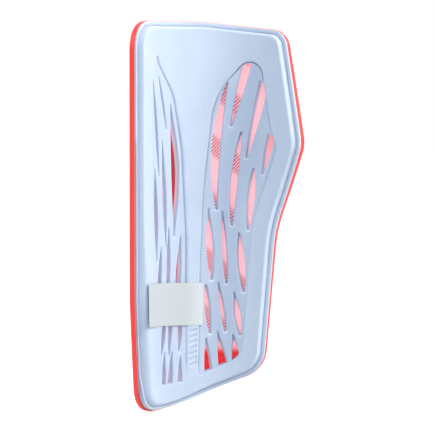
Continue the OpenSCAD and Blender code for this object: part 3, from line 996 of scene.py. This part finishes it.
def shell_material():
    """Satin red plastic with a painted glow, strong on its rim and inner side and faint on its outer face."""
    m = Shader("shell_plastic")
    at = m.flat()
    _, _, r = m.split(at)
    flow = m.ramp(m.noise(at, 0.03, 3), 0.3, 0.7)
    colour = m.mix(flow, tone(242, 58, 50), tone(236, 50, 48))
    colour = m.mix(m.ramp(m.noise(at, 2.2, 3), 0.4, 0.75, 0.0, 0.35), colour, tone(226, 44, 44))
    grain = m.bump(m.noise(at, 5.0, 3), 0.1, 0.00005)
    waves = m.bump(m.noise(at, 0.05, 2), 0.06, 0.002, grain)
    return m.surface(
        Base_Color=colour,
        Roughness=m.ramp(m.noise(at, 0.6, 3), 0.25, 0.75, 0.3, 0.45),
        Normal=waves,
        Coat_Weight=0.25,
        Coat_Roughness=0.15,
        # Painted glow, strong on the rim and inner side and faint on the outer face
        Emission_Color=tone(255, 34, 26),
        Emission_Strength=m.ramp(r, OUTER_R - 0.6, OUTER_R, 0.16, 0.02),
    )


def label_material():
    """Blank film with a faint fibre, a little paler toward its right end."""
    m = Shader("label_film")
    at = m.flat()
    s, _, _ = m.split(at)
    stretched = m.node("ShaderNodeMapping", Vector=at, Rotation=(0, 0, 0.3), Scale=(1.0, 3.5, 1.0))
    fibre = m.noise(stretched, 1.6, 4, 0.65)
    colour = m.mix(m.ramp(fibre, 0.3, 0.7), (0.505, 0.55, 0.575, 1), (0.55, 0.595, 0.615, 1))
    colour = m.mix(m.ramp(s, -8.0, 5.0), colour, (0.62, 0.655, 0.69, 1))
    return m.surface(
        Base_Color=colour,
        Roughness=m.ramp(fibre, 0.3, 0.7, 0.5, 0.64),
        Normal=m.bump(fibre, 0.15, 0.00005),
        Specular_IOR_Level=0.4,
    )


def glue_material():
    """Cloudy adhesive."""
    m = Shader("adhesive")
    at = m.flat()
    fleck = m.ramp(m.noise(at, 1.1, 3), 0.3, 0.7)
    return m.surface(
        Base_Color=m.mix(fleck, (0.74, 0.72, 0.66, 1), (0.81, 0.79, 0.73, 1)),
        Roughness=m.ramp(fleck, 0.0, 1.0, 0.28, 0.45),
        Normal=m.bump(m.noise(at, 2.0, 3), 0.2, 0.0001),
    )


# The piece that stands for each node, and its material

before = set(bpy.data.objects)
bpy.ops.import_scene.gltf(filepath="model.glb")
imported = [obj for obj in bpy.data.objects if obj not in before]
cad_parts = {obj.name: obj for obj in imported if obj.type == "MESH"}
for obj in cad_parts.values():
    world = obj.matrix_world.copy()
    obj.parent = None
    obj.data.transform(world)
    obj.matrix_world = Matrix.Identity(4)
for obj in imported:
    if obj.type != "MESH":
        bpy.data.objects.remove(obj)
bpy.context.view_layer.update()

print_line = moved_in(guard_line, PRINT_MARGIN)
pad = make_pad()
glue = make_slab("adhesive_sheet", pad_line, floors, GLUE_R, PRINT_R, GLUE_GRID)
lining = make_slab("printed_lining", print_line, [], PRINT_R, SHELL_R, SHELL_GRID)
pieces = {
    "foam_pad": (pad, "eva_foam", foam_material()),
    "adhesive_film": (glue, "adhesive", glue_material()),
    "printed_film": (lining, "printed_film", print_material()),
    "shell": (make_shell(), "shell_plastic", shell_material()),
    "label": (make_label(), "label_film", label_material()),
}
for node, (piece, slot, material) in pieces.items():
    piece.data.materials.append(material)
    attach(piece, "root")
    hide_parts(node)

looks_low, looks_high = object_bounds()


# Stage, light and camera


def shows_white(tree):
    """1 for light that the camera, a mirror or a clear piece sees the stage by, and 0 for light that falls on it."""
    path = tree.nodes.new("ShaderNodeLightPath")
    seen = path.outputs["Is Camera Ray"]
    for kind in ("Is Glossy Ray", "Is Transmission Ray"):
        either = tree.nodes.new("ShaderNodeMath")
        either.operation = "MAXIMUM"
        tree.links.new(seen, either.inputs[0])
        tree.links.new(path.outputs[kind], either.inputs[1])
        seen = either.outputs[0]
    return seen


def backdrop_material():
    """White where it is seen, with the object's shadow kept, and a plain pale surface to the light."""
    m = Shader("backdrop")
    at = m.node("ShaderNodeTexCoord", "Object")
    fleck = m.ramp(m.noise(at, 40.0, 2), 0.3, 0.7)
    return m.surface(
        Base_Color=m.mix(fleck, (0.62, 0.62, 0.62, 1), (0.64, 0.64, 0.64, 1)),
        Roughness=0.9,
        Specular_IOR_Level=0.1,
        Emission_Color=(1.0, 1.0, 1.0, 1),
        Emission_Strength=m.math("MULTIPLY", shows_white(m.tree), 0.6),
    )


FLOOR_GAP = 0.0005
FLOOR_SIZE = 12
floor_at = (0, 0, looks_low[2] - FLOOR_GAP)
bpy.ops.mesh.primitive_grid_add(x_subdivisions=8, y_subdivisions=8, size=FLOOR_SIZE, location=floor_at)
floor = bpy.context.object
floor.name = "floor"
floor.data.materials.append(backdrop_material())

scene = bpy.context.scene
world = bpy.data.worlds.new("studio")
scene.world = world
world.use_nodes = True
tree = world.node_tree
tree.nodes.clear()
dome = tree.nodes.new("ShaderNodeBackground")
dome.inputs["Color"].default_value = (0.91, 0.965, 1.0, 1)
dome.inputs["Strength"].default_value = 0.73
white = tree.nodes.new("ShaderNodeBackground")
white.inputs["Color"].default_value = (1, 1, 1, 1)
white.inputs["Strength"].default_value = 1.0
pick = tree.nodes.new("ShaderNodeMixShader")
result = tree.nodes.new("ShaderNodeOutputWorld")
tree.links.new(shows_white(tree), pick.inputs[0])
tree.links.new(dome.outputs[0], pick.inputs[1])
tree.links.new(white.outputs[0], pick.inputs[2])
tree.links.new(pick.outputs[0], result.inputs["Surface"])


def area_light(name, turn, rise, away, size, power, colour=(1, 1, 1)):
    """A square light aimed at the origin, from a turn to the right and a rise above level, in degrees."""
    turn, rise = math.radians(turn), math.radians(rise)
    way = Vector((math.sin(turn) * math.cos(rise), -math.cos(turn) * math.cos(rise), math.sin(rise)))
    data = bpy.data.lights.new(name, "AREA")
    data.shape = "SQUARE"
    data.size = size
    data.energy = power
    data.color = colour
    light = bpy.data.objects.new(name, data)
    light.location = way * away
    light.rotation_euler = (-way).to_track_quat("-Z", "Y").to_euler()
    scene.collection.objects.link(light)


area_light("key", turn=49, rise=36, away=1.1, size=0.48, power=9.6, colour=(1.0, 0.955, 0.92))
area_light("fill", turn=-50, rise=45, away=1.3, size=0.8, power=3.5, colour=(0.95, 0.98, 1.0))
area_light("back", turn=128, rise=25, away=1.2, size=0.4, power=2.8)

# The camera's turn to the left and rise, its distance in millimetres, the picture's side and scale in pixels, and the
# pixel at which the origin shows
TURN, RISE = math.radians(25), math.radians(2.5)
AWAY = 1500
PIXELS, PER_MM = 434, 1.857
ORIGIN_X, ORIGIN_Y = 193, 216
SENSOR = 36
back = Vector((-math.sin(TURN) * math.cos(RISE), -math.cos(TURN) * math.cos(RISE), math.sin(RISE)))
right = Vector((math.cos(TURN), -math.sin(TURN), 0))
up = right.cross(-back)
aim = -right * ((ORIGIN_X - PIXELS / 2) / PER_MM) + up * ((ORIGIN_Y - PIXELS / 2) / PER_MM)
lens_data = bpy.data.cameras.new("camera")
lens_data.sensor_width = SENSOR
lens_data.lens = SENSOR * PER_MM * AWAY / PIXELS
lens_data.clip_end = 100
camera = bpy.data.objects.new("camera", lens_data)
turned = Matrix((right, up, back)).transposed().to_4x4()
turned.translation = (aim + back * AWAY) * MM
camera.matrix_world = turned
scene.collection.objects.link(camera)
scene.camera = camera
scene.view_settings.view_transform = "Standard"
